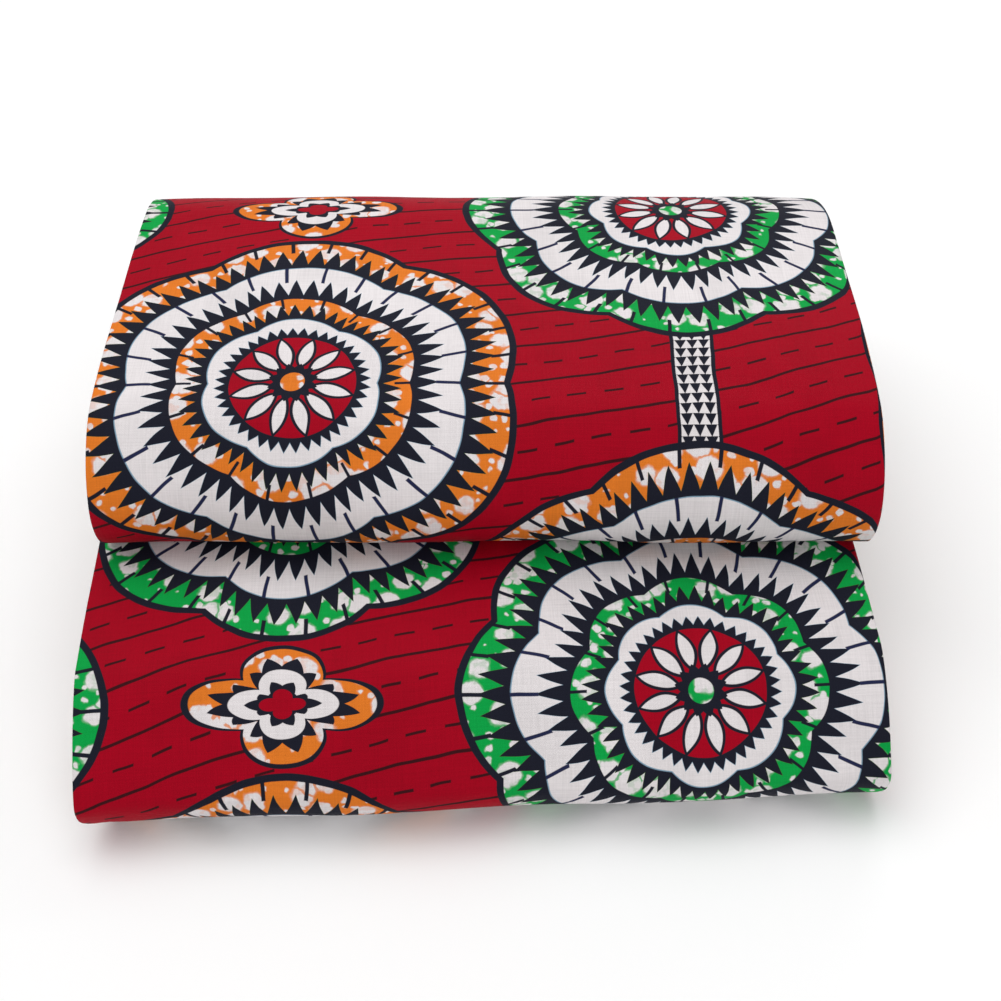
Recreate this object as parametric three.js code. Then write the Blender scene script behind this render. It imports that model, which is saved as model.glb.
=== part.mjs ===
// A full piece of wax print cloth, twelve yards long, folded for the shelf.
// It is folded in four across its width, rolled flat into a pad, and the pad is
// turned over at the back, so its upper half lies on its lower half with a step.
// Millimetres, +Z up, +X to the right, +Y towards the back.
import * as THREE from "three";
import { mergeVertices } from "three/addons/utils/BufferGeometryUtils.js";

// The cloth
const CLOTH_WIDTH = 1168; // 46 inches between the selvedges
const PLIES = 4; // folded selvedge to selvedge, and once more
const WIDTH = CLOTH_WIDTH / PLIES;
const WALL = 2.2; // the outermost turn: four plies and the air between them
const GAP = 0.3; // between one piece and the next
const CREASE_GAP = 0.4; // where the upper half lies on the lower half
const CREASE_END = 9; // how far before the inside of the turn the outermost turn stops
const FOLD = { depth: 0.8, trim: 0.6 }; // the rounded folds at the turn's two ends

// The two halves, seen from the side. front is the foremost point, brow the part
// of the nose above that point, and the top falls by sag towards the front.
const LOWER = { front: 0, thick: 57, brow: 39.5, browPower: 1.29, sag: 0.142, sagReach: 133 };
const UPPER = { front: 82, thick: 59, brow: 31, browPower: 1.87, sag: 0.161, sagReach: 84 };
const CHIN = { depth: 0.6, power: 2.1, height: 0.46 }; // below that point, as shares

// The turn at the back
const TURN_START = 222;
const TURN_DEPTH = 63;
const TURN_POWER = 2;
const HEIGHT = LOWER.thick + CREASE_GAP + UPPER.thick;

// How the lower half lies askew under the upper one
const ASKEW = THREE.MathUtils.degToRad(2.46);
const ASKEW_PIVOT = 88;
const ASKEW_SHIFT = -3.4;

// Soft unevenness of the pad, which grows with the height above the table
const END_SAG = 1.6;
const SWELLS = [
  { height: 0.8, acrossWave: 176, alongWave: 310, acrossPhase: 0.6, alongPhase: 1.1 },
  { height: 0.45, acrossWave: 88, alongWave: 140, acrossPhase: 2.1, alongPhase: 0.2 },
];
const FRONT_RIPPLE = { depth: 0.7, wave: 118, phase: 0.9, reach: 60 };

// How far the lower front corners are rounded in, from the height top down to foot
const CORNER = {
  left: { inset: 8, top: 16 },
  right: { inset: 1, top: 9 },
  foot: 2,
  reach: 55,
};

// The folded ends: one row for each sheaf of turns, from the outside inwards.
// width is its share of half the pad, left and right how far its ends stand back.
const SHEAVES = [
  { width: 0.15, left: 1.6, right: 2.4 },
  { width: 0.17, left: 3.0, right: 1.3 },
  { width: 0.16, left: 1.2, right: 3.1 },
  { width: 0.18, left: 2.6, right: 1.8 },
  { width: 0.17, left: 1.4, right: 2.9 },
  { width: 0.17, left: 2.9, right: 1.6 },
];
const GROOVE = 3.2; // how much deeper the groove between two sheaves is

// How finely the section and the width are divided
const STEPS = { flat: 9, nose: 12, turn: 12, across: 12 };
const ENDS = 9; // how far in from the pad's ends the even division begins

const { clamp, lerp } = THREE.MathUtils;

/** Numbers from a to b in equal steps, both ends included. */
function spaced(a, b, steps) {
  return Array.from({ length: steps + 1 }, (_, i) => lerp(a, b, i / steps));
}

const INNER_ROWS = spaced(ENDS - WIDTH / 2, WIDTH / 2 - ENDS, STEPS.across);

/** How much of its thickness a tier keeps at y, as it falls towards its front. */
function kept(tier, y) {
  const near = clamp(1 - (y - tier.front) / tier.sagReach, 0, 1);
  return 1 - tier.sag * near * near;
}

/** The height that a tier lies on at y. */
function base(tier, y) {
  return tier === LOWER ? 0 : LOWER.thick * kept(LOWER, y) + CREASE_GAP;
}

/** The height of a tier's middle surface at y. */
function middle(tier, y) {
  return base(tier, y) + (tier.thick * kept(tier, y)) / 2;
}

// A point of the section is { y, z } on the pad's outside, { my, mz } on its middle
// surface below it, and turned, which goes from 0 in the lower half to 1 in the upper.

/** The straight stretch of a tier, on its top or its underside, between two depths. */
function flatStretch(tier, onTop, from, to) {
  const turned = tier === UPPER ? 1 : 0;
  return spaced(from, to, STEPS.flat).map((y) => {
    const rest = base(tier, y);
    const z = onTop ? rest + tier.thick * kept(tier, y) : rest;
    return { y, z, my: y, mz: middle(tier, y), turned };
  });
}

/** The front of a tier, from its top over the nose to its underside. */
function noseStretch(tier) {
  const centre = tier.front + tier.brow;
  const tip = tier.thick * CHIN.height;
  const turned = tier === UPPER ? 1 : 0;
  const round = spaced(Math.PI / 2, -Math.PI / 2, STEPS.nose).map((angle) => {
    const above = angle >= 0;
    const power = 2 / (above ? tier.browPower : CHIN.power);
    const depth = tier.brow * (above ? 1 : CHIN.depth);
    const reach = Math.abs(Math.cos(angle)) ** power;
    const rise = Math.abs(Math.sin(angle)) ** power;
    const y = tier.front + depth * (1 - reach);
    const local = above ? tip + (tier.thick - tip) * rise : tip * (1 - rise);
    return { y, z: base(tier, y) + local * kept(tier, y) };
  });
  round.push({ y: centre, z: base(tier, centre) });
  return round.map((p) => ({ ...p, my: centre, mz: middle(tier, centre), turned }));
}

/** The turn at the back, from the table up to the top of the upper half. */
function backStretch() {
  const low = middle(LOWER, TURN_START);
  const high = middle(UPPER, TURN_START);
  return spaced(0, Math.PI, STEPS.turn).map((angle) => {
    const back = Math.sin(angle) ** (2 / TURN_POWER);
    const up = Math.sign(Math.cos(angle)) * Math.abs(Math.cos(angle)) ** (2 / TURN_POWER);
    return {
      y: TURN_START + TURN_DEPTH * back,
      z: (HEIGHT / 2) * (1 - up),
      my: TURN_START + (TURN_DEPTH / 2) * Math.sin(angle),
      mz: (low + high) / 2 - ((high - low) / 2) * Math.cos(angle),
      turned: (1 - Math.cos(angle)) / 2,
    };
  });
}

/** The inside of the turn, where the section folds back on itself at one line. */
function creaseStretch() {
  return backStretch()
    .reverse()
    .map((p) => ({ ...p, y: TURN_START, z: LOWER.thick + CREASE_GAP * p.turned }));
}

/** Joins stretches end to end, leaving out the point that two of them share. */
function joined(...stretches) {
  return stretches.flatMap((s, i) => (i ? s.slice(1) : s));
}

/** A tier's outside, from the back over its top, round its nose and back below it. */
function roundTier(tier, start = TURN_START, end = TURN_START) {
  const noseBack = tier.front + tier.brow;
  return joined(
    flatStretch(tier, true, start, noseBack),
    noseStretch(tier),
    flatStretch(tier, false, noseBack, end),
  );
}

/** How much the pad's surface stands above or below its plain form at a place. */
function swell(x, y) {
  const end = (2 * x) / WIDTH;
  const waves = SWELLS.map(
    (s) =>
      s.height *
      Math.sin((2 * Math.PI * x) / s.acrossWave + s.acrossPhase) *
      Math.sin((2 * Math.PI * y) / s.alongWave + s.alongPhase),
  );
  return waves.reduce((sum, wave) => sum + wave, -END_SAG * end ** 4);
}

/** Puts a point of the plain pad where it lies in the real, uneven one. */
function settled(x, y, z, turned) {
  const front = lerp(LOWER.front, UPPER.front, turned);
  const nearFront = clamp(1 - (y - front) / FRONT_RIPPLE.reach, 0, 1);
  const ripple = Math.sin((2 * Math.PI * x) / FRONT_RIPPLE.wave + FRONT_RIPPLE.phase);
  const corner = x < 0 ? CORNER.left : CORNER.right;
  const low = clamp((corner.top - z) / (corner.top - CORNER.foot), 0, 1);
  const cornerShare = low * low * (3 - 2 * low) * clamp(1 - y / CORNER.reach, 0, 1);
  const inset = corner.inset * cornerShare * Math.abs((2 * x) / WIDTH) ** 3;
  const px = x - Math.sign(x) * inset;
  const py = y + FRONT_RIPPLE.depth * nearFront * ripple;
  const pz = z + (z / HEIGHT) * swell(x, y);
  const angle = ASKEW * (1 - turned);
  const away = py - ASKEW_PIVOT;
  return new THREE.Vector3(
    px * Math.cos(angle) - away * Math.sin(angle) + ASKEW_SHIFT * (1 - turned),
    px * Math.sin(angle) + away * Math.cos(angle) + ASKEW_PIVOT,
    pz,
  );
}

/** The share of the way out from the middle surface at a distance in from the outside. */
function shareIn(distance) {
  return 1 - distance / (Math.min(LOWER.thick, UPPER.thick) / 2);
}

/** A section point carried in towards the middle surface and set at a place across. */
function pointAt(p, share, x) {
  return settled(x, lerp(p.my, p.y, share), lerp(p.mz, p.z, share), p.turned);
}

/**
 * A closed surface over rings of points, one after another, with the ends capped by cap.
 * From the point backAt on, a ring runs back along its own first part, and its faces are
 * divided the other way, so both sides of a wall have their creases in the same places.
 */
function skin(rings, cap, backAt = Infinity) {
  const count = rings[0].length;
  const faces = [];
  rings.slice(1).forEach((_, r) => {
    for (let i = 0; i < count; i++) {
      const a = r * count + i;
      const b = r * count + ((i + 1) % count);
      if (i < backAt) faces.push([a, b, b + count], [a, b + count, a + count]);
      else faces.push([a, b, a + count], [b, b + count, a + count]);
    }
  });
  const last = (rings.length - 1) * count;
  cap.forEach(([a, b, c]) => faces.push([a, c, b], [a + last, b + last, c + last]));
  const positions = rings.flat().flatMap((v) => [v.x, v.y, v.z]);
  const geometry = new THREE.BufferGeometry();
  geometry.setAttribute("position", new THREE.Float32BufferAttribute(positions, 3));
  geometry.setIndex(faces.flat());
  const merged = mergeVertices(geometry, 1e-3);
  const index = [...merged.index.array];
  const whole = [];
  for (let i = 0; i < index.length; i += 3) {
    const [a, b, c] = index.slice(i, i + 3);
    if (a !== b && b !== c && c !== a) whole.push(a, b, c);
  }
  merged.setIndex(whole);
  merged.computeVertexNormals();
  return merged;
}

/** A stretch of the outermost turn: a wall between the outside and the turn below it. */
function wallGeometry(path) {
  const plain = WIDTH / 2 - FOLD.depth;
  const rows = [
    { x: -WIDTH / 2, trim: FOLD.trim },
    ...[-plain, ...INNER_ROWS, plain].map((x) => ({ x, trim: 0 })),
    { x: WIDTH / 2, trim: FOLD.trim },
  ];
  const rings = rows.map(({ x, trim }) => [
    ...path.map((p) => pointAt(p, shareIn(trim), x)),
    ...[...path].reverse().map((p) => pointAt(p, shareIn(WALL - trim), x)),
  ]);
  const count = rings[0].length;
  const cap = path.slice(1).flatMap((_, i) => [
    [i, i + 1, count - 2 - i],
    [i, count - 2 - i, count - 1 - i],
  ]);
  return skin(rings, cap, path.length);
}

/** The turns inside, as one rounded solid whose ends show the sheaves that it is made of. */
function innerGeometry() {
  const loop = joined(backStretch(), roundTier(UPPER), creaseStretch(), roundTier(LOWER)).slice(1);
  const outermost = shareIn(WALL + GAP);
  const ends = [];
  let out = 1;
  for (const sheaf of SHEAVES) {
    const edge = { share: out * outermost, left: sheaf.left + GROOVE, right: sheaf.right + GROOVE };
    const ridge = { share: (out - sheaf.width / 2) * outermost, left: sheaf.left, right: sheaf.right };
    ends.push(edge, ridge);
    out -= sheaf.width;
  }
  const deepest = SHEAVES.at(-1);
  ends.push({ share: 0, left: deepest.left + GROOVE, right: deepest.right + GROOVE });
  const ringAt = (share, x) => loop.map((p) => pointAt(p, share, x));
  const leftRings = [...ends].reverse().map((e) => ringAt(e.share, -WIDTH / 2 + e.left));
  const rightRings = ends.map((e) => ringAt(e.share, WIDTH / 2 - e.right));
  const middleRings = INNER_ROWS.map((x) => ringAt(outermost, x));
  return skin([...leftRings, ...middleRings, ...rightRings], []);
}

/** A named piece of the cloth in its own material. */
function piece(name, geometry, colour, roughness) {
  const material = new THREE.MeshStandardMaterial({ color: colour, roughness, metalness: 0 });
  const mesh = new THREE.Mesh(geometry, material);
  mesh.name = name;
  return mesh;
}

const lowerPath = roundTier(LOWER, TURN_START - CREASE_END, TURN_START - GAP);
const upperPath = joined(backStretch(), roundTier(UPPER, TURN_START, TURN_START - CREASE_END));
const folded = new THREE.Group();
folded.add(
  piece("lower_outer_ply", wallGeometry(lowerPath), 0xa20620, 0.72),
  piece("upper_outer_ply", wallGeometry(upperPath), 0xa8082a, 0.72),
  piece("inner_layers", innerGeometry(), 0x7d0a1c, 0.8),
);

// The origin is the middle of the underside's bounding rectangle.
const box = new THREE.Box3().setFromObject(folded);
const centre = box.getCenter(new THREE.Vector3());
folded.children.forEach((mesh) => mesh.position.set(-centre.x, -centre.y, -box.min.z));

export default folded;
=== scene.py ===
"""The look of a full piece of wax print cloth, folded in two stepped tiers.

The cloth is folded in four across its width and rolled flat into a pad, and the pad is
turned over at the back. Sizes of the fold are in millimetres, in the section's own frame:
x runs along the folds, y from the lower tier's front to the back, z up from the table.
The print is worked out in millimetres on the flat cloth, from the cloth's own UV map.
"""

import logging
import math
from dataclasses import astuple, dataclass, replace
from enum import Enum
from functools import partialmethod
from itertools import accumulate
from typing import Any, Callable, Iterable, Mapping, Optional, Union

import bmesh
import bpy
from mathutils import Matrix, Vector, noise

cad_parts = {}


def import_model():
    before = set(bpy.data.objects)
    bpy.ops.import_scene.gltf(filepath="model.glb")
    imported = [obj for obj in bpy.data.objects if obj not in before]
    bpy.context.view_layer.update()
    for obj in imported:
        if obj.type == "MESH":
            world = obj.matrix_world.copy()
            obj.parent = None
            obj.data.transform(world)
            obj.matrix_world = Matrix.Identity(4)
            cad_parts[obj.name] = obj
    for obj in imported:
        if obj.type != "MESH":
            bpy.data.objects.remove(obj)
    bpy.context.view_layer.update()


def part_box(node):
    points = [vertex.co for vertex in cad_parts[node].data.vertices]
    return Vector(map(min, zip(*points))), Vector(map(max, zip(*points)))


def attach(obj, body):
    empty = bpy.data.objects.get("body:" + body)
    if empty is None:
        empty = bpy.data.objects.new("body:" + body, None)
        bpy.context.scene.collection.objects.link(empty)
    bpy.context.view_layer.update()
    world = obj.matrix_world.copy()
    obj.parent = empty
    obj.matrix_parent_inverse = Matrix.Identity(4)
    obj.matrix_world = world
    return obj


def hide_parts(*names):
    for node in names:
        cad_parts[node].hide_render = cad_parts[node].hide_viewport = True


LOG = logging.getLogger("folded_cloth")
MM = 0.001
IMAGE_SIZE = 1001
SLOT = "printed_cotton"
CLOTH_UV = "cloth"
# The distance within which two points of a mesh become one, in metres
WELD = 1e-6
# The least distance that is divided by, in millimetres
LEAST_STEP = 1e-9
# The Mix node's sockets for colours: the mask, the two colours and the result
MIX_MASK, MIX_BELOW, MIX_ABOVE, MIX_RESULT = 0, 6, 7, 2

Pair = tuple[float, float]
Socket = bpy.types.NodeSocket


def clamped(value: float) -> float:
    """Keeps a value between 0 and 1."""
    return min(max(value, 0.0), 1.0)


def smoothed(share: float) -> float:
    """Eases a share in and out between 0 and 1."""
    return share * share * (3 - 2 * share)


def uneven(*place: float) -> float:
    """Soft noise at a place, from about -1 to 1."""
    return noise.noise(Vector(place))


def placed(name: str, data: bpy.types.ID) -> bpy.types.Object:
    """Adds an object to the scene, at the origin.

    Args:
        name: Its name.
        data: What it shows.

    Returns:
        The object.
    """
    obj = bpy.data.objects.new(name, data)
    bpy.context.scene.collection.objects.link(obj)
    return obj


def mesh_object(name: str, bm: bmesh.types.BMesh) -> bpy.types.Object:
    """Adds a finished mesh to the scene as an object, and frees it.

    Args:
        name: The object's name.
        bm: The mesh.

    Returns:
        The object.
    """
    data = bpy.data.meshes.new(name)
    bm.to_mesh(data)
    bm.free()
    return placed(name, data)


# The fold


@dataclass(frozen=True)
class Tier:
    """One half of the pad, seen from the side.

    front is its foremost point, brow the depth of its nose above that point and
    brow_power the nose's squareness. Its top falls by the share sag towards the front,
    over the distance sag_reach. turned is 0 in the lower half and 1 in the upper one.
    """

    front: float
    thick: float
    brow: float
    brow_power: float
    sag: float
    sag_reach: float
    turned: float

    def kept(self, y: float) -> float:
        """The share of its thickness that the tier keeps at y."""
        near = clamped(1 - (y - self.front) / self.sag_reach)
        return 1 - self.sag * near * near


LOWER = Tier(0.0, 57.0, 39.5, 1.29, 0.142, 133.0, 0.0)
UPPER = Tier(82.0, 59.0, 31.0, 1.87, 0.161, 84.0, 1.0)


@dataclass(frozen=True)
class Station:
    """A place on the section: on the pad's outside, and on the middle surface below it.

    run is the distance along the outside, which the cloth's print is measured by.
    """

    y: float
    z: float
    mid_y: float
    mid_z: float
    turned: float
    run: float = 0.0

    def at(self, share: float) -> Pair:
        """The depth and height at a share of the way from the middle surface outwards."""
        return self.mid_y + (self.y - self.mid_y) * share, self.mid_z + (self.z - self.mid_z) * share


@dataclass(frozen=True)
class Fold:
    """The sizes of the folded pad, and the way from the plain pad to the settled one.

    A lower front corner is rounded in by the first of its two sizes, from the height of
    the second one down to corner_foot. The powers tell how near to the ends the sag and
    the rounded corners keep. Each of the swells has its rise, its wavelengths across and
    along, and its two phases.
    """

    width: float = 292.0
    wall: float = 2.2
    crease_gap: float = 0.4
    crease_end: float = 9.0
    turn_start: float = 222.0
    turn_depth: float = 63.0
    chin_depth: float = 0.6
    chin_power: float = 2.1
    chin_height: float = 0.46
    askew: float = math.radians(2.46)
    askew_pivot: float = 88.0
    askew_shift: float = -3.4
    end_sag: float = 1.6
    end_sag_power: int = 4
    ripple: float = 0.7
    ripple_wave: float = 118.0
    ripple_phase: float = 0.9
    ripple_reach: float = 60.0
    corner_left: Pair = (8.0, 16.0)
    corner_right: Pair = (1.0, 9.0)
    corner_foot: float = 2.0
    corner_reach: float = 55.0
    corner_power: int = 3
    swells: tuple[tuple[float, float, float, float, float], ...] = (
        (0.8, 176.0, 310.0, 0.6, 1.1),
        (0.45, 88.0, 140.0, 2.1, 0.2),
    )

    @property
    def height(self) -> float:
        """The height of the plain pad."""
        return LOWER.thick + self.crease_gap + UPPER.thick

    @property
    def half_thickness(self) -> float:
        """The distance that the shares of the way to the middle are measured by."""
        return min(LOWER.thick, UPPER.thick) / 2

    def level(self, tier: Tier, y: float, share: float) -> float:
        """The height of a tier at y, at a share of the way from its underside to its top."""
        base = 0.0 if tier is LOWER else LOWER.thick * LOWER.kept(y) + self.crease_gap
        return base + tier.thick * tier.kept(y) * share

    def flat(self, tier: Tier, share: float, start: float, end: float, steps: int) -> list[Station]:
        """The stations at a share of a tier's thickness, from one depth to another."""
        depths = (start + (end - start) * i / steps for i in range(steps + 1))
        return [
            Station(y, self.level(tier, y, share), y, self.level(tier, y, 0.5), tier.turned)
            for y in depths
        ]

    def nose(self, tier: Tier, steps: int) -> list[Station]:
        """Gives the stations of a tier's front, from its top down to its underside.

        Args:
            tier: The half of the pad.
            steps: The number of steps round it.

        Returns:
            The stations in order.
        """
        centre = tier.front + tier.brow
        mid_z = self.level(tier, centre, 0.5)
        tip = tier.thick * self.chin_height
        found = []
        for i in range(steps + 1):
            angle = math.pi / 2 - math.pi * i / steps
            above = angle >= 0
            power = 2 / (tier.brow_power if above else self.chin_power)
            depth = tier.brow * (1.0 if above else self.chin_depth)
            y = tier.front + depth * (1 - abs(math.cos(angle)) ** power)
            rise = abs(math.sin(angle)) ** power
            local = tip + (tier.thick - tip) * rise if above else tip * (1 - rise)
            z = self.level(tier, y, 0.0) + local * tier.kept(y)
            found.append(Station(y, z, centre, mid_z, tier.turned))
        found.append(Station(centre, self.level(tier, centre, 0.0), centre, mid_z, tier.turned))
        return found

    def back(self, steps: int) -> list[Station]:
        """Gives the stations of the turn at the back, from the table up to the top.

        Args:
            steps: The number of steps round it.

        Returns:
            The stations in order.
        """
        low, high = (self.level(tier, self.turn_start, 0.5) for tier in (LOWER, UPPER))
        found = []
        for i in range(steps + 1):
            angle = math.pi * i / steps
            reach, up = math.sin(angle), math.cos(angle)
            found.append(
                Station(
                    self.turn_start + self.turn_depth * (reach if 0 < i < steps else 0.0),
                    self.height / 2 * (1 - up),
                    self.turn_start + self.turn_depth / 2 * reach,
                    (low + high) / 2 - (high - low) / 2 * up,
                    (1 - up) / 2,
                )
            )
        return found

    def crease(self, steps: int) -> list[Station]:
        """Gives the stations inside the turn, where the section folds back at one line."""
        return [
            replace(s, y=self.turn_start, z=LOWER.thick + self.crease_gap * s.turned)
            for s in reversed(self.back(steps))
        ]

    def round_tier(self, tier: Tier, start: float, end: float, steps: int, bend: int) -> list[Station]:
        """A tier's outside, from its top at start round its nose to its underside at end."""
        nose_back = tier.front + tier.brow
        return joined(
            self.flat(tier, 1.0, start, nose_back, steps),
            self.nose(tier, bend),
            self.flat(tier, 0.0, nose_back, end, steps),
        )

    def swell(self, x: float, y: float) -> float:
        """The height of the pad's soft unevenness above the plain pad at a place."""
        waves = (
            rise * math.sin(math.tau * x / across + first) * math.sin(math.tau * y / along + second)
            for rise, across, along, first, second in self.swells
        )
        return sum(waves, -self.end_sag * (2 * x / self.width) ** self.end_sag_power)

    def settled(self, x: float, y: float, z: float, turned: float) -> Vector:
        """Puts a point of the plain pad where it lies in the settled one.

        Args:
            x: The place along the folds.
            y: The depth.
            z: The height.
            turned: 0 in the lower half, 1 in the upper one.

        Returns:
            The point in the section's frame.
        """
        front = LOWER.front + (UPPER.front - LOWER.front) * turned
        near_front = clamped(1 - (y - front) / self.ripple_reach)
        ripple = math.sin(math.tau * x / self.ripple_wave + self.ripple_phase)
        inset, top = self.corner_left if x < 0 else self.corner_right
        low = clamped((top - z) / (top - self.corner_foot))
        corner = smoothed(low) * clamped(1 - y / self.corner_reach)
        aside = abs(2 * x / self.width) ** self.corner_power
        px = x - math.copysign(inset * corner * aside, x)
        py = y + self.ripple * near_front * ripple
        pz = z + z / self.height * self.swell(x, y)
        angle = self.askew * (1 - turned)
        away = py - self.askew_pivot
        return Vector(
            (
                px * math.cos(angle) - away * math.sin(angle) + self.askew_shift * (1 - turned),
                px * math.sin(angle) + away * math.cos(angle) + self.askew_pivot,
                pz,
            )
        )


def joined(*stretches: list[Station]) -> list[Station]:
    """Joins stretches end to end, and leaves out the station that two of them share."""
    return stretches[0] + [s for stretch in stretches[1:] for s in stretch[1:]]


def measured(stations: list[Station], start: float = 0.0) -> list[Station]:
    """Gives the stations their distance along the outside, counted from start."""
    steps = (math.hypot(b.y - a.y, b.z - a.z) for a, b in zip(stations, stations[1:]))
    return [replace(s, run=run) for s, run in zip(stations, accumulate(steps, initial=start))]


def spaced_out(stations: list[Station], spacing: float) -> list[Station]:
    """Gives measured stations at equal distances along the outside.

    Args:
        stations: The measured stations.
        spacing: The greatest distance between two of the new ones.

    Returns:
        The new stations, with the first and the last kept.
    """
    start, end = stations[0].run, stations[-1].run
    steps = math.ceil((end - start) / spacing)
    found = []
    i = 0
    for k in range(steps + 1):
        run = start + (end - start) * k / steps
        while i < len(stations) - 2 and stations[i + 1].run < run:
            i += 1
        a, b = stations[i], stations[i + 1]
        t = (run - a.run) / max(b.run - a.run, LEAST_STEP)
        between = Station(*(p + (q - p) * t for p, q in zip(astuple(a), astuple(b))))
        found.append(replace(between, run=run))
    return found


# Creases


@dataclass(frozen=True)
class Trough:
    """A soft crease in the cloth's surface.

    above is its distance up from the tier's foremost point, along the cloth, and across
    its place along the fold. heading is its turn away from the fold's direction, in
    degrees. A negative depth is a ridge.
    """

    tier: Tier
    across: float
    above: float
    length: float
    width: float
    depth: float
    heading: float = 0.0

    def at(self, across: float, above: float) -> float:
        """Tells how deep the crease is at a place on its tier.

        Args:
            across: The place along the fold.
            above: The distance up from the tier's foremost point.

        Returns:
            The depth.
        """
        turn = math.radians(self.heading)
        dx, dy = across - self.across, above - self.above
        along = dx * math.cos(turn) + dy * math.sin(turn)
        beside = dy * math.cos(turn) - dx * math.sin(turn)
        fade = smoothed(clamped(TROUGH_END - abs(along) / (self.length / 2)))
        return self.depth * fade * math.exp(-((beside / self.width) ** 2))


TROUGHS = (
    Trough(UPPER, 6.0, 66.0, 46.0, 3.2, 0.30, 3.0),
    Trough(UPPER, -96.0, 152.0, 118.0, 9.0, 0.55, -14.0),
    Trough(UPPER, 72.0, 128.0, 92.0, 7.0, 0.45, 22.0),
    Trough(UPPER, -40.0, 96.0, 70.0, 6.0, 0.30, 8.0),
    Trough(UPPER, 118.0, 44.0, 52.0, 5.5, 0.50, -31.0),
    Trough(UPPER, 34.0, 8.0, 96.0, 6.0, 0.35, -4.0),
    Trough(UPPER, -118.0, 20.0, 60.0, 5.0, 0.45, 17.0),
    Trough(UPPER, -62.0, -10.0, 74.0, 5.0, -0.30, 5.0),
    Trough(UPPER, 22.0, 205.0, 150.0, 10.0, 0.55, 6.0),
    Trough(UPPER, -86.0, 248.0, 84.0, 8.0, 0.60, -18.0),
    Trough(UPPER, 92.0, 276.0, 110.0, 9.0, 0.50, 11.0),
    Trough(UPPER, -10.0, 318.0, 130.0, 7.0, 0.45, -7.0),
    Trough(LOWER, -112.0, 34.0, 66.0, 6.0, 0.60, 24.0),
    Trough(LOWER, -134.0, 4.0, 40.0, 4.5, 0.55, 68.0),
    Trough(LOWER, 58.0, 58.0, 120.0, 8.0, 0.45, -9.0),
    Trough(LOWER, -24.0, 26.0, 88.0, 6.5, 0.35, 6.0),
    Trough(LOWER, 121.0, 22.0, 58.0, 5.0, 0.50, -26.0),
    Trough(LOWER, 10.0, -6.0, 130.0, 5.0, -0.30, 2.0),
    Trough(LOWER, -66.0, 70.0, 64.0, 7.0, 0.40, 13.0),
)
# Where a crease is gone, in half lengths from its middle. It fades over the last one
TROUGH_END = 1.5
# The creases begin at half this height above the table, and are whole at half as much again
CREASE_RISE = 4.0
# The cloth's soft unevenness: its size across and along it, its depth and its own shift
UNEVENNESS = ((31.0, 23.0, 0.16, 0.0), (12.0, 10.0, 0.05, 3.0))
TIER_SHIFT = 7.0


def crease_depth(tier: Tier, across: float, above: float) -> float:
    """Tells how deep a tier's creases and its soft unevenness are together.

    Args:
        tier: The half of the pad.
        across: The place along the fold.
        above: The distance up from the tier's foremost point.

    Returns:
        The depth.
    """
    total = sum(t.at(across, above) for t in TROUGHS if t.tier is tier)
    for wide, long, depth, shift in UNEVENNESS:
        total += depth * uneven(across / wide, above / long, tier.turned * TIER_SHIFT + shift)
    return total


# The cloth's meshes


@dataclass(frozen=True)
class EdgePoint:
    """A point of the strip's cross-section.

    end is -1 at the left end, 1 at the right one and 0 between them. There, place is
    the share of the way from left to right, and else the distance in from the end.
    depth is the share of the thickness from the outside, and cloth the place across
    the flat cloth, in its folded width.
    """

    end: int
    place: float
    depth: float
    cloth: float


# How far in from the left end the plies meet, in millimetres
NOTCH = 1.3
# The cloth that goes round the right fold in each step, in folded widths
FOLD_RUN = 0.004
# The selvedges below the left fold: their place in from the end, depth and place on the cloth
SELVEDGES = (
    (0.5, 1.0, 1.992),
    (0.35, 0.80, 1.996),
    (1.0, 0.76, 1.998),
    (0.2, 0.72, 1.996),
    (0.25, 0.56, 1.998),
    (NOTCH, 0.5, 2.0),
)


def strip_profile(thickness: float, outside: int, inside: int, steps: int) -> list[EdgePoint]:
    """Gives the cross-section of cloth folded in four, from the left fold round to it again.

    Two plies fold round at the left, with the two selvedges under them, and all four
    plies fold round at the right.

    Args:
        thickness: The thickness of the four plies.
        outside: The number of steps across the outer face.
        inside: The number of steps across the inner face.
        steps: The number of steps round a fold.

    Returns:
        The points in order. The first and the last are at one place.
    """
    width = Fold().width
    small, large = thickness * 0.25, thickness * 0.5
    points = [EdgePoint(-1, NOTCH, 0.5, -NOTCH / width)]
    for i in range(1, steps + 1):
        angle = -math.pi / 2 + math.pi * i / steps
        place = small * (1 - math.cos(angle))
        points.append(EdgePoint(-1, place, 0.25 - 0.25 * math.sin(angle), place / width))
    for i in range(1, outside):
        points.append(EdgePoint(0, i / outside, 0.0, i / outside))
    for i in range(steps + 1):
        angle = math.pi / 2 - math.pi * i / steps
        place = large * (1 - math.cos(angle))
        points.append(EdgePoint(1, place, 0.5 - 0.5 * math.sin(angle), 1 + FOLD_RUN * i))
    for i in range(1, inside):
        points.append(EdgePoint(0, 1 - i / inside, 1.0, 1 + i / inside))
    return points + [EdgePoint(-1, *selvedge) for selvedge in SELVEDGES]


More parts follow.
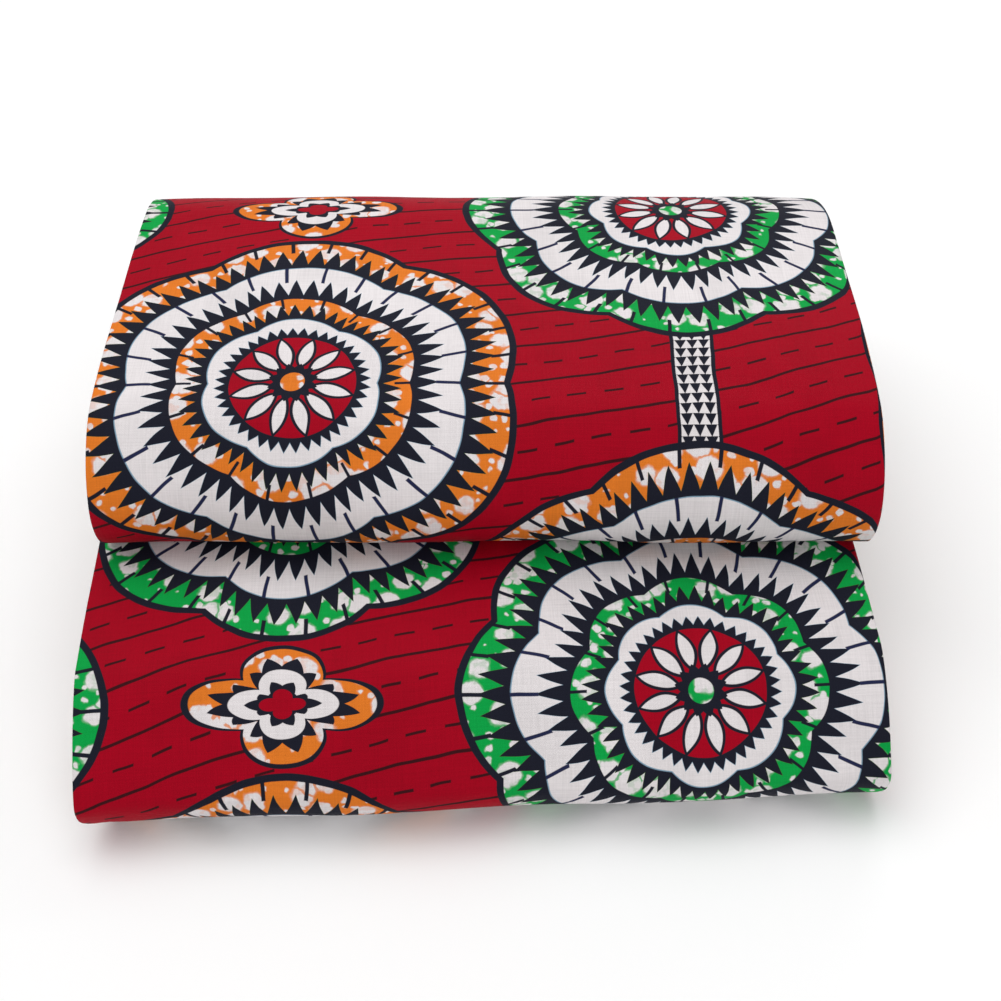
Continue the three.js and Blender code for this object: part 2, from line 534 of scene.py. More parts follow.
@dataclass(frozen=True)
class Strip:
    """A length of the folded cloth, as a closed strip with rounded folds at both ends.

    stations are its places along the section. shares give the share of the way out that
    its outer face lies at, and backs how far its two ends stand back, at each of them.
    thick is its thickness as such a share. dent tells how deep its face is creased at a
    station and a place across.
    """

    name: str
    stations: list[Station]
    profile: list[EdgePoint]
    shares: list[float]
    thick: float
    backs: list[Pair]
    dent: Callable[[Station, float], float]
    fold: Fold = Fold()

    def point(self, i: int, edge: EdgePoint) -> Vector:
        """Places a point of the cross-section.

        Args:
            i: The number of the station where it lies.
            edge: The point.

        Returns:
            Its place in the section's frame.
        """
        station = self.stations[i]
        back_left, back_right = self.backs[i]
        left, right = -self.fold.width / 2 + back_left, self.fold.width / 2 - back_right
        places = {-1: left + edge.place, 0: left + (right - left) * edge.place, 1: right - edge.place}
        x = places[edge.end]
        share = self.shares[i] - edge.depth * self.thick
        y, z = station.at(share)
        out = Vector((0.0, station.y - station.mid_y, station.z - station.mid_z)).normalized()
        lift = -self.dent(station, x)
        return self.fold.settled(x, y + out.y * lift, z + out.z * lift, station.turned)

    def mesh(self, origin: Vector) -> bmesh.types.BMesh:
        """Builds the strip.

        Args:
            origin: The section's origin in the part's frame, in metres.

        Returns:
            A closed mesh with the cloth's UV map.
        """
        long_steps, ring_steps = len(self.stations) - 1, len(self.profile) - 1
        bm = bmesh.new()
        bmesh.ops.create_grid(bm, x_segments=long_steps, y_segments=ring_steps, size=1.0)
        uv = bm.loops.layers.uv.new(CLOTH_UV)
        width = self.fold.width
        cloth = {}
        for vert in bm.verts:
            i = round((vert.co.x + 1) / 2 * long_steps)
            edge = self.profile[round((vert.co.y + 1) / 2 * ring_steps)]
            vert.co = self.point(i, edge) * MM + origin
            cloth[vert] = (self.stations[i].run * MM, edge.cloth * width * MM)
        for face in bm.faces:
            face.smooth = True
            for loop in face.loops:
                loop[uv].uv = cloth[loop.vert]
        bmesh.ops.remove_doubles(bm, verts=bm.verts, dist=WELD)
        rims = [e for e in bm.edges if e.is_boundary]
        caps = bmesh.ops.holes_fill(bm, edges=rims, sides=0)["faces"]
        for face in caps:
            for loop in face.loops:
                side = next(o for o in loop.vert.link_loops if o.face not in caps)
                loop[uv].uv = side[uv].uv
        bmesh.ops.recalc_face_normals(bm, faces=bm.faces)
        return bm


@dataclass(frozen=True)
class OuterTurn:
    """The outermost turn of the cloth, in the two lengths that show on the two tiers.

    Its ends stand back by end_back, and wander about that by end_wander over a distance
    of wander_length along the cloth.
    """

    fold: Fold = Fold()
    spacing: float = 2.6
    columns: tuple[int, int, int] = (90, 10, 6)
    fine: int = 60
    seam_gap: float = 0.3
    end_back: float = 0.08
    end_wander: float = 0.25
    wander_length: float = 40.0
    side_shifts: Pair = (0.0, 9.0)
    tier_shift: float = 5.0

    def upper_stations(self) -> list[Station]:
        """The stations from the back's foot over the upper tier and into the crease."""
        rest = self.over_tier(UPPER, 0.0, self.fold.crease_end)
        return spaced_out(measured(joined(self.fold.back(self.fine), rest)), self.spacing)

    def lower_stations(self) -> list[Station]:
        """The stations from the crease over the lower tier and back along the table."""
        path = measured(self.over_tier(LOWER, self.fold.crease_end, self.seam_gap))
        return spaced_out(measured(path, -path[-1].run), self.spacing)

    def over_tier(self, tier: Tier, first: float, last: float) -> list[Station]:
        """The stations over a tier, between two distances in front of the turn's start."""
        start = self.fold.turn_start
        return self.fold.round_tier(tier, start - first, start - last, self.fine, self.fine)

    @staticmethod
    def foremost(stations: list[Station]) -> float:
        """The distance along the cloth at which a tier's foremost point lies."""
        return min(stations, key=lambda s: (s.y, s.z)).run

    def strip(self, name: str, tier: Tier, stations: list[Station]) -> Strip:
        """Gives a tier's length of the turn.

        Args:
            name: The name of the piece.
            tier: The half of the pad that it shows on.
            stations: Its stations.

        Returns:
            The strip, with its creases.
        """
        front = self.foremost(stations)

        def dent(station: Station, x: float) -> float:
            """Creases the cloth everywhere but where it lies on the table."""
            free = clamped(station.z / CREASE_RISE - 0.5)
            return crease_depth(tier, x, front - station.run) * free

        return Strip(
            name,
            stations,
            strip_profile(self.fold.wall, *self.columns),
            [1.0] * len(stations),
            self.fold.wall / self.fold.half_thickness,
            [self.backs(tier, s.run / self.wander_length) for s in stations],
            dent,
            self.fold,
        )

    def backs(self, tier: Tier, run: float) -> Pair:
        """How far the folds at the two ends stand back, at a place along the cloth."""
        wander = (uneven(run, side, tier.turned * self.tier_shift) for side in self.side_shifts)
        return tuple(self.end_back + self.end_wander * share for share in wander)

    @staticmethod
    def length(stations: list[Station]) -> float:
        """The length of cloth along the stations, in metres."""
        return (stations[-1].run - stations[0].run) * MM


@dataclass(frozen=True)
class InnerTurns:
    """The hidden turns: one strip of cloth wound inwards, whose ends show at the sides.

    first and last are the shares of the way out that its face lies at where it begins
    and ends. Each turn's ends stand back by stand_back, and spread about that by the
    turn's own share and by a share that wanders along the cloth. The turns' own shares
    are read turn_stride apart along a line of the noise, at turn_line.
    """

    fold: Fold = Fold()
    turns: float = 11.61
    first: float = 0.897
    last: float = 0.075
    thickness: float = 1.9
    spread: float = 1.5
    stand_back: float = 1.7
    own_share: float = 1.3
    wander_share: float = 0.7
    wander_length: float = 95.0
    turn_stride: float = 1.7
    turn_line: float = 0.3
    side_shifts: Pair = (0.0, 31.0)
    back_steps: int = 34
    flat_steps: int = 12
    bend_steps: int = 26
    columns: tuple[int, int, int] = (7, 5, 5)

    def loop(self) -> list[Station]:
        """Follows the section once round.

        Returns:
            The stations of one whole turn, closed on itself.
        """
        f, steps = self.fold, (self.flat_steps, self.bend_steps)
        upper, lower = (f.round_tier(t, f.turn_start, f.turn_start, *steps) for t in (UPPER, LOWER))
        return measured(joined(f.back(self.back_steps), upper, f.crease(self.flat_steps), lower))

    def strip(self, name: str) -> tuple[Strip, float]:
        """Gives the wound strip.

        Args:
            name: The name of the piece.

        Returns:
            The strip, and the length of its cloth in metres.
        """
        loop = self.loop()
        count = len(loop) - 1
        total = round(count * self.turns)
        shares = [self.first + (self.last - self.first) * k / total for k in range(total + 1)]
        stations = []
        run = 0.0
        before: Optional[Vector] = None
        for k, share in enumerate(shares):
            s = loop[k % count]
            here = Vector(s.at(share))
            run += (here - before).length if before is not None else 0.0
            before = here
            stations.append(replace(s, run=run))
        backs = [
            tuple(self.back(i / count, s.run / self.wander_length, side) for side in self.side_shifts)
            for i, s in enumerate(stations)
        ]
        strip = Strip(
            name,
            stations,
            strip_profile(self.thickness, *self.columns),
            shares,
            self.thickness / self.fold.half_thickness,
            backs,
            lambda station, x: 0.0,
            self.fold,
        )
        return strip, run * MM

    def back(self, turn: float, run: float, side: float) -> float:
        """Tells how far a turn's end stands back, by its own share and one that wanders.

        Args:
            turn: How many turns in from the outermost it lies.
            run: The place along the cloth, in wander lengths.
            side: The shift in the noise of the side where the end is.

        Returns:
            The distance in millimetres.
        """
        own = uneven(turn * self.turn_stride + side, self.turn_line, 0.0)
        wander = uneven(run, turn, side)
        return self.stand_back + self.spread * (self.own_share * own + self.wander_share * wander)


# The print


class Ink(Enum):
    """The colours of the print, as linear red, green and blue."""

    CRIMSON = (0.338, 0.0, 0.011)
    WHITE = (0.720, 0.678, 0.685)
    NAVY = (0.0105, 0.0115, 0.0210)
    INDIGO = (0.0150, 0.0190, 0.0600)
    MAROON = (0.042, 0.005, 0.008)
    OLIVE = (0.048, 0.100, 0.018)
    BLEED = (0.200, 0.320, 0.420)
    GREEN = (0.002, 0.330, 0.056)
    ORANGE = (0.705, 0.180, 0.019)
    SELVEDGE = (0.60, 0.55, 0.53)


class Field:
    """A number that varies over the cloth, held as a socket of a shader's node tree."""

    def __init__(self, canvas: "Canvas", socket: Socket) -> None:
        """Holds a socket of the canvas's node tree."""
        self.canvas = canvas
        self.socket = socket

    def calculated(self, operation: str, *others: "Number") -> "Field":
        """Gives a Math node's result from this value and the others."""
        inputs = dict(enumerate((self, *others)))
        return self.canvas.field("ShaderNodeMath", inputs, operation=operation)

    __add__ = partialmethod(calculated, "ADD")
    __sub__ = partialmethod(calculated, "SUBTRACT")
    __mul__ = partialmethod(calculated, "MULTIPLY")
    __truediv__ = partialmethod(calculated, "DIVIDE")
    size = partialmethod(calculated, "ABSOLUTE")
    fraction = partialmethod(calculated, "FRACT")
    lesser = partialmethod(calculated, "MINIMUM")
    greater = partialmethod(calculated, "MAXIMUM")
    below = partialmethod(calculated, "LESS_THAN")

    def triangle(self) -> "Field":
        """A wave of straight teeth, from 0 to 1 and back each time the value grows by 1."""
        return self.calculated("PINGPONG", 0.5) * 2.0

    def towards(self, other: "Field", share: "Field") -> "Field":
        """This value where share is 0 and the other one where it is 1."""
        return self + (other - self) * share

    def wrapped(self, period: float) -> "Field":
        """The value folded into half a period either side of 0."""
        return self.calculated("WRAP", period / 2, -period / 2)

    def ramp(self, low: float, high: float, start: float = 0.0, end: float = 1.0) -> "Field":
        """A soft step, from start where this is low to end where it is high."""
        inputs = {"Value": self, "From Min": low, "From Max": high, "To Min": start, "To Max": end}
        return self.canvas.field("ShaderNodeMapRange", inputs, interpolation_type="SMOOTHSTEP")

    def within(self, soft: float = 0.16) -> "Field":
        """1 where this distance in millimetres is negative, with an inked edge."""
        return self.ramp(-soft, soft, 1.0, 0.0)


Number = Union[Field, float]
Colour = Union[Ink, Socket]
Inputs = Mapping[Union[str, int], Any]


class Canvas:
    """A shader's node tree with the place on the flat cloth, in metres along and across it."""

    def __init__(self, tree: bpy.types.NodeTree) -> None:
        """Reads the cloth's UV map in the tree."""
        self.tree = tree
        self.uv = self.node("ShaderNodeUVMap", {}, uv_map=CLOTH_UV).outputs["UV"]

    def node(self, kind: str, inputs: Inputs, **settings: str) -> bpy.types.Node:
        """Adds a node.

        Args:
            kind: The node's type.
            inputs: What its inputs get: plain values, inks, fields or other nodes' sockets.
            settings: The node's own settings.

        Returns:
            The node.
        """
        node = self.tree.nodes.new(kind)
        for name, setting in settings.items():
            setattr(node, name, setting)
        for slot, value in inputs.items():
            given = value.socket if isinstance(value, Field) else value
            if isinstance(given, Socket):
                self.tree.links.new(given, node.inputs[slot])
            else:
                given = (*given.value, 1.0) if isinstance(given, Ink) else given
                node.inputs[slot].default_value = given
        return node

    def field(self, kind: str, inputs: Inputs, **settings: str) -> Field:
        """Adds a node, and gives its first result."""
        return Field(self, self.node(kind, inputs, **settings).outputs[0])

    def over(self, below: Colour, above: Colour, mask: Field) -> Socket:
        """Prints one colour over another where the mask is 1, and gives the result."""
        inputs = {MIX_MASK: mask, MIX_BELOW: below, MIX_ABOVE: above}
        return self.node("ShaderNodeMix", inputs, data_type="RGBA").outputs[MIX_RESULT]

    def place(self) -> list[Field]:
        """Gives the place along and across the cloth, in metres."""
        parts = self.node("ShaderNodeSeparateXYZ", {0: self.uv})
        return [Field(self, parts.outputs[k]) for k in (0, 1)]

    def noise(self, place: Socket, scale: float, detail: float = 2.0) -> bpy.types.Node:
        """Adds soft noise that changes as often as scale says, with finer noise in it."""
        inputs = {"Vector": place, "Scale": scale, "Detail": detail}
        return self.node("ShaderNodeTexNoise", inputs, noise_dimensions="2D")

    def noise_pair(self, scale: float) -> list[Field]:
        """Gives two fields of soft noise, from about -0.5 to 0.5."""
        parts = self.node("ShaderNodeSeparateColor", {0: self.noise(self.uv, scale).outputs["Color"]})
        return [Field(self, parts.outputs[k]) - 0.5 for k in (0, 1)]

    def cells(self, place: Socket, density: float, scatter: float, feature: str) -> Field:
        """The distance to the middles of scattered cells for F1, or else to their edges."""
        inputs = {"Vector": place, "Scale": density, "Randomness": scatter}
        return self.field("ShaderNodeTexVoronoi", inputs, voronoi_dimensions="2D", feature=feature)

    def drawn_out(self, scale: Pair) -> Field:
        """Gives noise about 0 that changes as often in a metre as scale says each way."""
        stretch = self.node("ShaderNodeMapping", {"Scale": (*scale, 1.0), "Vector": self.uv})
        return Field(self, self.noise(stretch.outputs[0], 1.0, 1.0).outputs["Fac"]) - 0.5

    def threads(self, scale: Pair) -> Field:
        """Gives noise drawn out along the threads of both directions, laid over each other."""
        return self.drawn_out(scale) + self.drawn_out(scale[::-1])


@dataclass(frozen=True)
class Band:
    """One ring of a motif, from its centre out to radius.

    teeth is the number of points on its edge, and height how far they stand out. ink is
    None for the motif's own dyed colour, and fringe the colour it has run to at its edge.
    """

    ink: Optional[Ink]
    radius: float
    teeth: int = 0
    height: float = 0.0
    fringe: Optional[Ink] = None


ROSETTE = (
    Band(Ink.NAVY, 80.4),
    Band(None, 77.8),
    Band(Ink.NAVY, 64.0, 66, 9.2, Ink.OLIVE),
    Band(Ink.BLEED, 62.1),
    Band(Ink.WHITE, 61.7),
    Band(Ink.NAVY, 45.2, 54, 9.0, Ink.BLEED),
    Band(None, 42.8),
    Band(Ink.NAVY, 33.2, 48, 6.0, Ink.OLIVE),
    Band(Ink.BLEED, 31.4),
    Band(Ink.WHITE, 31.0),
)
ROSETTE_HEART = (
    Band(Ink.NAVY, 25.2, 40, 3.8, Ink.BLEED),
    Band(Ink.CRIMSON, 23.6),
)
ROSETTE_EYE = (
    Band(Ink.NAVY, 7.4, 12, 2.2),
    Band(None, 4.6),
)
STAR = (
    Band(Ink.NAVY, 22.5),
    Band(None, 20.8),
    Band(Ink.NAVY, 13.4, 16, 4.2),
    Band(Ink.WHITE, 12.2),
    Band(Ink.NAVY, 6.4, 10, 2.2),
    Band(Ink.CRIMSON, 5.2),
)


@dataclass(frozen=True)
class Ticks:
    """A ring of short strokes across a band: their number, middle, half length and width."""

    count: int
    middle: float
    half: float
    width: float
    ink: Ink


TICKS = (
    Ticks(26, 57.6, 4.6, 1.4, Ink.INDIGO),
    Ticks(34, 75.0, 3.3, 1.5, Ink.NAVY),
    Ticks(18, 40.2, 2.8, 1.2, Ink.NAVY),
)


@dataclass(frozen=True)
class Drops:
    """A set of drops of wax: how many lie in a metre, their size and how it varies.

    size is a drop's radius as a share of the distance between two of them, and spread how
    much it grows and shrinks over the cloth.
    """

    density: float
    size: float
    spread: float


DROPS = (Drops(80.0, 0.335, 0.36), Drops(150.0, 0.175, 0.45))


@dataclass(frozen=True)
class WaxPrint:
    """Block-printed cotton: rosettes, stars and triangle strips on a lined ground.

    repeat is the size of the print's repeat along and across the cloth, and start the
    place of its first rosette there. The rosettes of the two colours lie half a repeat
    apart both ways. wobble is how far the hand-cut edges stray. The ground's lines lean
    by line_lean and sway by line_sway over a distance of sway_length. lobe_depth is the
    depth of the rosettes' lobes and star_depth that of the stars', as shares of their
    size. half_lobes is half the number of a green rosette's lobes, and an orange one has
    two lobes fewer. run_out is the width of the fringe at an edge, and scatter tells how
    freely the drops of wax lie, from 0 to 1.
    """

    canvas: Canvas
    repeat: Pair = (225.0, 300.0)
    start: Pair = (67.0, 74.0)
    line_pitch: float = 19.5
    line_width: float = 1.25
    dash_pitch: float = 13.6
    dash_length: float = 7.2
    dash_width: float = 1.1
    strip_width: float = 17.0
    strip_margin: float = 1.5
    triangle: float = 4.5
    triangle_fill: float = 0.95
    run_out: float = 0.3
    wobble: float = 2.6
    wobble_scale: float = 34.0
    line_lean: float = 0.26
    line_sway: float = 5.0
    sway_length: float = 46.0
    stagger: float = 0.37
    half_lobes: float = 4.0
    lobe_depth: float = 0.10
    star_depth: float = 0.42
    star_squash: float = 0.62
    star_reach: float = 24.0
    petal_count: int = 12
    petal_middle: float = 15.4
    petal_half: float = 7.6
    petal_wide: float = 2.7
    petal_outline: float = 0.9
    petal_trim: float = 0.3
    selvedge: float = 4.5
    patch_scale: float = 26.0
    ragged_scale: float = 240.0
    ragged_reach: float = 0.0026
    scatter: float = 0.85

    def dyed(self, second: Field) -> Socket:
        """Gives the motifs' dyed colour, with the white drops that the wax has left.

        Args:
            second: 0 where the dye is green and 1 where it is orange.

        Returns:
            The colour's socket.
        """
        canvas = self.canvas
        dye = canvas.over(Ink.GREEN, Ink.ORANGE, second)
        patches, streaks = canvas.noise_pair(self.patch_scale)
        fine = canvas.noise(canvas.uv, self.ragged_scale)
        seeped = Field(canvas, fine.outputs["Fac"])
        reach = (self.ragged_reach, self.ragged_reach, 0.0)
        inputs = {0: fine.outputs["Color"], 1: reach, 2: canvas.uv}
        ragged = canvas.node("ShaderNodeVectorMath", inputs, operation="MULTIPLY_ADD").outputs[0]
        stain = (seeped + streaks * 0.5).ramp(low=0.52, high=0.68, start=1.0, end=0.70)
        for drops in DROPS:
            away = canvas.cells(ragged, drops.density, self.scatter, "F1")
            rim = canvas.cells(ragged, drops.density, self.scatter, "DISTANCE_TO_EDGE")
            drop = away - patches * drops.spread - drops.size
            bled = drop.ramp(low=0.0, high=0.07, start=0.22, end=0.0)
            covered = drop.ramp(low=-0.035, high=0.02, start=1.0, end=0.0)
            vein = rim.ramp(low=0.02, high=0.05)
            dye = canvas.over(dye, Ink.WHITE, bled)
            dye = canvas.over(dye, Ink.WHITE, covered * vein * stain)
        return dye

    def rings(
        self, colour: Colour, bands: Iterable[Band], radius: Field, angle: Field, dye: Socket
    ) -> Colour:
        """Prints a motif's rings, from the outermost inwards.

        Args:
            colour: The colour below them.
            bands: The rings.
            radius: The distance from the motif's centre.
            angle: The angle round it, in turns.
            dye: The motif's dyed colour.

        Returns:
            The colour with the rings.
        """
        for band in bands:
            distance = radius - band.radius
            if band.teeth:
                distance = distance - (angle * band.teeth).triangle() * band.height
            if band.fringe is not None:
                colour = self.canvas.over(colour, band.fringe, (distance - self.run_out).within())
            colour = self.canvas.over(colour, band.ink or dye, distance.within())
        return colour

    @staticmethod
    def spoke(radius: Field, angle: Field, count: int) -> Field:
        """The distance beside the nearest of a number of even spokes, at an angle in turns."""
        return ((angle * count).fraction() - 0.5).size() * radius * (math.tau / count)

    def petals(self, radius: Field, angle: Field) -> Field:
        """The distance to the nearest petal of a ring, negative inside it."""
        wide, along = self.petal_wide, (radius - self.petal_middle) / self.petal_half
        return self.spoke(radius, angle, self.petal_count) - (along * along * -wide + wide)

    def ground(self, u: Field, v: Field) -> Socket:
        """Gives the ground: thin wavy lines, with a row of dashes between each two.

        Args:
            u: The place along the cloth, in millimetres.
            v: The place across it.

        Returns:
            The colour's socket.
        """
        sway = (v / self.sway_length).calculated("SINE") * self.line_sway
        lean = u + v * self.line_lean + sway
        row = lean / self.line_pitch
        beside = (row.fraction() - 0.5).size() * self.line_pitch
        line = beside * -1.0 + (self.line_pitch - self.line_width) / 2
        stagger = row.calculated("FLOOR") * self.stagger
        along = ((v / self.dash_pitch + stagger).fraction() - 0.5).size() * self.dash_pitch
        dash = (beside - self.dash_width / 2).greater(along - self.dash_length / 2)
        return self.canvas.over(Ink.CRIMSON, Ink.MAROON, line.lesser(dash).within(soft=0.2))

    def triangle_strip(self, colour: Colour, along: Field, across: Field) -> Socket:
        """Prints a dark strip of small white triangles over a colour.

        Args:
            colour: The colour below it.
            along: The place along the strip.
            across: The place across it, 0 in its middle.

        Returns:
            The colour's socket.
        """
        band = across.size() - self.strip_width / 2
        colour = self.canvas.over(colour, Ink.NAVY, band.within())
        row = along / self.triangle
        tall = row.fraction()
        wide = ((across / self.triangle).fraction() - 0.5).size() * 2.0
        white = (wide - tall * self.triangle_fill) * self.triangle * 0.5
        margin = band + self.strip_margin
        return self.canvas.over(colour, Ink.WHITE, white.greater(margin).within(soft=0.14))

    def colour(self) -> Socket:
        """Gives the whole print.

        Returns:
            The colour's socket.
        """
        over = self.canvas.over
        plain_u, plain_v = (part * (1 / MM) for part in self.canvas.place())
        sideways, lengthways = self.canvas.noise_pair(self.wobble_scale)
        u, v = plain_u + sideways * self.wobble, plain_v + lengthways * self.wobble
        long, wide = self.repeat
        du, dv = u - self.start[0], v - self.start[1]
        first = (du.wrapped(long), dv.wrapped(wide))
        other = ((du - long / 2).wrapped(long), (dv - wide / 2).wrapped(wide))
        span = [p[0] * p[0] + p[1] * p[1] for p in (first, other)]
        nearer = span[1].below(span[0])
        rows = (du / long + 0.5).towards(du / long, nearer).calculated("FLOOR")
        second = (rows * 0.5).fraction() * 2.0
        px = first[0].towards(other[0], nearer)
        py = first[1].towards(other[1], nearer)
        radius = span[0].lesser(span[1]).calculated("SQRT")
        turn = py.calculated("ARCTAN2", px)
        angle = turn / math.tau + 0.5
        colour = self.triangle_strip(self.ground(u, v), *other)
        star_u, star_v = other[0], first[1] * self.star_squash
        star_turn = star_v.calculated("ARCTAN2", star_u)
        star_span = (star_u * star_u + star_v * star_v).calculated("SQRT")
        points = (star_turn * 2.0).calculated("COSINE").size()
        pointed = star_span / (points * self.star_depth + (1 - self.star_depth))
        star_second = ((du / long).calculated("FLOOR") * 0.5).fraction() * -2.0 + 1.0
        dye = self.dyed(second.towards(star_second, pointed.below(self.star_reach)))
        colour = self.rings(colour, STAR, pointed, star_turn / math.tau + 0.5, dye)
        half_lobes = second * -1.0 + self.half_lobes
        lobes = (turn * half_lobes).calculated("COSINE").size() * self.lobe_depth + 1.0
        scalloped = radius / lobes
        colour = self.rings(colour, ROSETTE, scalloped, angle, dye)
        for tick in TICKS:
            beside = self.spoke(radius, angle, tick.count)
            stroke = (beside - tick.width / 2).greater((scalloped - tick.middle).size() - tick.half)
            colour = over(colour, tick.ink, stroke.within())
        colour = self.rings(colour, ROSETTE_HEART, radius, angle, dye)
        petal = self.petals(radius, angle)
        colour = over(colour, Ink.NAVY, (petal - self.petal_outline).within())
        colour = over(colour, Ink.WHITE, (petal + self.petal_trim).within())
        colour = self.rings(colour, ROSETTE_EYE, radius, angle, dye)
        from_selvedge = (plain_v - Fold().width * 2).size()
        return over(colour, Ink.SELVEDGE, (from_selvedge - self.selvedge).within(soft=0.4))


@dataclass(frozen=True)
class PrintedCotton:
    """The finish of the cloth: its print, plain weave, slubs and light starch sheen.

    threads is the number of threads in a metre. The scales say how often the grain, the
    patches, the places where the ply below shows through and the slubs change in a
    metre, along the threads and across them. Each contrast is how much they darken or
    lighten the colour.
    """

    name: str = SLOT
    roughness: float = 0.62
    sheen: float = 0.015
    sheen_roughness: float = 0.45
    specular: float = 0.055
    threads: float = 2300.0
    grain_scale: Pair = (60.0, 1900.0)
    grain_contrast: float = 0.16
    patch_scale: Pair = (11.0, 14.0)
    patch_contrast: float = 0.12
    below_scale: Pair = (34.0, 40.0)
    below_contrast: float = 0.045
    slub_scale: Pair = (45.0, 1100.0)
    weave_height: float = 0.35
    bump_strength: float = 0.32
    bump_distance: float = 0.00022

    def material(self) -> bpy.types.Material:
        """Builds the material.

        Returns:
            The material.
        """
        material = bpy.data.materials.new(self.name)
        material.use_nodes = True
        tree = material.node_tree
        cloth = tree.nodes["Principled BSDF"]
        cloth.inputs["Roughness"].default_value = self.roughness
        cloth.inputs["Sheen Weight"].default_value = self.sheen
        cloth.inputs["Sheen Roughness"].default_value = self.sheen_roughness
        cloth.inputs["Specular IOR Level"].default_value = self.specular
        canvas = Canvas(tree)
        colour = self.varied(canvas, WaxPrint(canvas).colour())
        tree.links.new(colour, cloth.inputs["Base Color"])
        tree.links.new(self.weave(canvas), cloth.inputs["Normal"])
        return material

    def varied(self, canvas: Canvas, colour: Socket) -> Socket:
        """Varies a colour from thread to thread, and where the ply below shows through.

        Args:
            canvas: The node tree that it is in.
            colour: The colour's socket.

        Returns:
            The new colour's socket.
        """
        patches = canvas.drawn_out(self.patch_scale)
        below = canvas.drawn_out(self.below_scale).ramp(low=0.02, high=0.12)
        light = canvas.threads(self.grain_scale) * self.grain_contrast + patches * self.patch_contrast
        inputs = {"Value": light - below * self.below_contrast + 1.0, "Color": colour}
        return canvas.node("ShaderNodeHueSaturation", inputs).outputs[0]

    def weave(self, canvas: Canvas) -> Socket:
        """Gives the relief of the plain weave with its slubs.

        Args:
            canvas: The node tree that it is in.

        Returns:
            The normal's socket.
        """
        waves = [(part * (self.threads * math.pi)).calculated("SINE") for part in canvas.place()]
        height = waves[0] * waves[1] * self.weave_height + canvas.threads(self.slub_scale)
        inputs = {"Strength": self.bump_strength, "Distance": self.bump_distance, "Height": height}
        return canvas.node("ShaderNodeBump", inputs).outputs["Normal"]


# The object


class FoldedCloth:
    """The folded piece of cloth."""

    def __init__(self) -> None:
        """Sets out the fold where the frame has it."""
        self.fold = Fold()
        self.outer = OuterTurn(self.fold)
        self.inner = InnerTurns(self.fold)
        self.origin = self.section_origin()

    def section_origin(self) -> Vector:
        """Finds where the section's frame lies, from the boxes of the outer plies.

        Returns:
            Its origin in the part's frame, in metres.
        """
        corners = [Vector(c) for n in ("lower_outer_ply", "upper_outer_ply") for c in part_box(n)]
        low = Vector(min(c[k] for c in corners) for k in range(3))
        high = Vector(max(c[k] for c in corners) for k in range(3))
        plain = [
            self.fold.settled(x, s.y, s.z, s.turned) * MM
            for s in self.outer.lower_stations() + self.outer.upper_stations()
            for x in (-self.fold.width / 2, self.fold.width / 2)
        ]
        centre = [(min(p[k] for p in plain) + max(p[k] for p in plain)) / 2 for k in (0, 1)]
        return Vector(((low.x + high.x) / 2 - centre[0], (low.y + high.y) / 2 - centre[1], low.z))

    def build(self) -> None:
        cotton = PrintedCotton().material()
        lower, upper = self.outer.lower_stations(), self.outer.upper_stations()
        inner, inner_length = self.inner.strip("inner_turns")
        pieces = (
            (self.outer.strip("lower_cloth", LOWER, lower), self.outer.length(lower), "lower_outer_ply"),
            (self.outer.strip("upper_cloth", UPPER, upper), self.outer.length(upper), "upper_outer_ply"),
            (inner, inner_length, "inner_layers"),
        )
        for strip, length, node in pieces:
            obj = mesh_object(strip.name, strip.mesh(self.origin))
            obj.data.materials.append(cotton)
            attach(obj, "root")
            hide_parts(node)
            faces = sum(len(p.vertices) - 2 for p in obj.data.polygons)
            LOG.info("%s: %.2f m of cloth, %d triangles", obj.name, length, faces)


# The studio


@dataclass(frozen=True)
class Camera:
    """The camera, in the section's frame: what it looks at, and from where."""

    target: tuple[float, float, float] = (5.46, 122.52, 50.0)
    distance: float = 575.1
    elevation: float = math.radians(44.667)
    yaw: float = math.radians(0.403)
    roll: float = math.radians(0.242)
    focal_pixels: float = 1424.0
    sensor: float = 36.0
    nearest: float = 0.05

    def build(self, origin: Vector) -> None:
        """Creates the camera and makes it the scene's.

        Args:
            origin: The section's origin in the part's frame, in metres.
        """
        ahead = Vector(
            (
                math.sin(self.yaw) * math.cos(self.elevation),
                math.cos(self.yaw) * math.cos(self.elevation),
                -math.sin(self.elevation),
            )
        )
        level = Vector((math.cos(self.yaw), -math.sin(self.yaw), 0.0))
        above = level.cross(ahead)
        right = level * math.cos(self.roll) + above * math.sin(self.roll)
        up = above * math.cos(self.roll) - level * math.sin(self.roll)
        data = bpy.data.cameras.new("camera")
        data.sensor_width = self.sensor
        data.lens = self.focal_pixels * self.sensor / IMAGE_SIZE
        data.clip_start = self.nearest
        camera = placed("camera", data)
        place = (Vector(self.target) - ahead * self.distance) * MM + origin
        turn = Matrix((right, up, -ahead)).transposed().to_4x4()
        camera.matrix_world = Matrix.Translation(place) @ turn
        bpy.context.scene.camera = camera


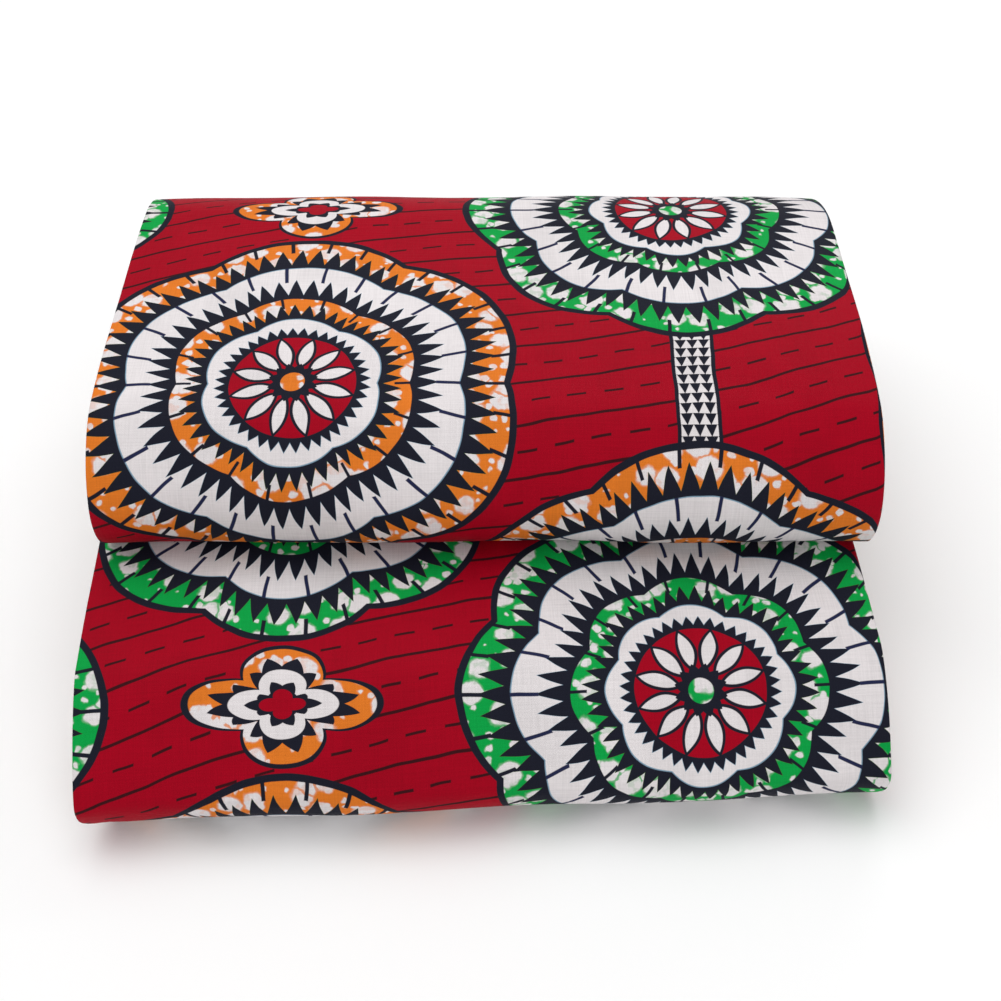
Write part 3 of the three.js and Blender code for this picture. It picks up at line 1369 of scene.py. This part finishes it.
@dataclass(frozen=True)
class SoftBox:
    """A square studio light and the place it shines at."""

    name: str
    place: tuple[float, float, float]
    size: float
    power: float

    def build(self) -> None:
        """Creates the light, facing the object."""
        data = bpy.data.lights.new(self.name, "AREA")
        data.shape = "SQUARE"
        data.size = self.size
        data.energy = self.power
        light = placed(self.name, data)
        light.location = self.place
        light.rotation_mode = "QUATERNION"
        light.rotation_quaternion = (-Vector(self.place)).to_track_quat("-Z", "Y")


@dataclass(frozen=True)
class Studio:
    """The plain pale floor, the soft light and the world round them."""

    floor_size: float = 6.0
    floor_colour: tuple[float, float, float] = (0.97, 0.97, 0.97)
    floor_roughness: float = 0.9
    floor_specular: float = 0.1
    world_strength: float = 0.48
    lights: tuple[SoftBox, ...] = (
        SoftBox("overhead", (-0.25, 0.2, 1.35), 1.3, 11.4),
        SoftBox("front_fill", (0.5, -1.3, 0.9), 1.1, 5.2),
        SoftBox("back_rim", (0.4, 1.2, 0.8), 0.8, 3.4),
    )

    def build(self) -> None:
        """Builds the floor and the lights."""
        bm = bmesh.new()
        bmesh.ops.create_grid(bm, x_segments=1, y_segments=1, size=self.floor_size / 2)
        floor = mesh_object("floor", bm)
        floor.data.materials.append(self.floor_material())
        for light in self.lights:
            light.build()
        world = bpy.data.worlds.new("studio")
        world.use_nodes = True
        background = world.node_tree.nodes["Background"]
        background.inputs["Color"].default_value = (1.0, 1.0, 1.0, 1.0)
        background.inputs["Strength"].default_value = self.world_strength
        bpy.context.scene.world = world
        bpy.context.scene.view_settings.view_transform = "Standard"

    def floor_material(self) -> bpy.types.Material:
        """Builds the floor's matt pale paint.

        Returns:
            The material.
        """
        material = bpy.data.materials.new("pale_floor")
        material.use_nodes = True
        paint = material.node_tree.nodes["Principled BSDF"]
        paint.inputs["Base Color"].default_value = (*self.floor_colour, 1.0)
        paint.inputs["Roughness"].default_value = self.floor_roughness
        paint.inputs["Specular IOR Level"].default_value = self.floor_specular
        return material


def main() -> None:
    """Builds the cloth and its studio."""
    logging.basicConfig(level=logging.INFO, format="%(name)s: %(message)s")
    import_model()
    cloth = FoldedCloth()
    Camera().build(cloth.origin)
    cloth.build()
    Studio().build()


if __name__ == "__main__":
    main()
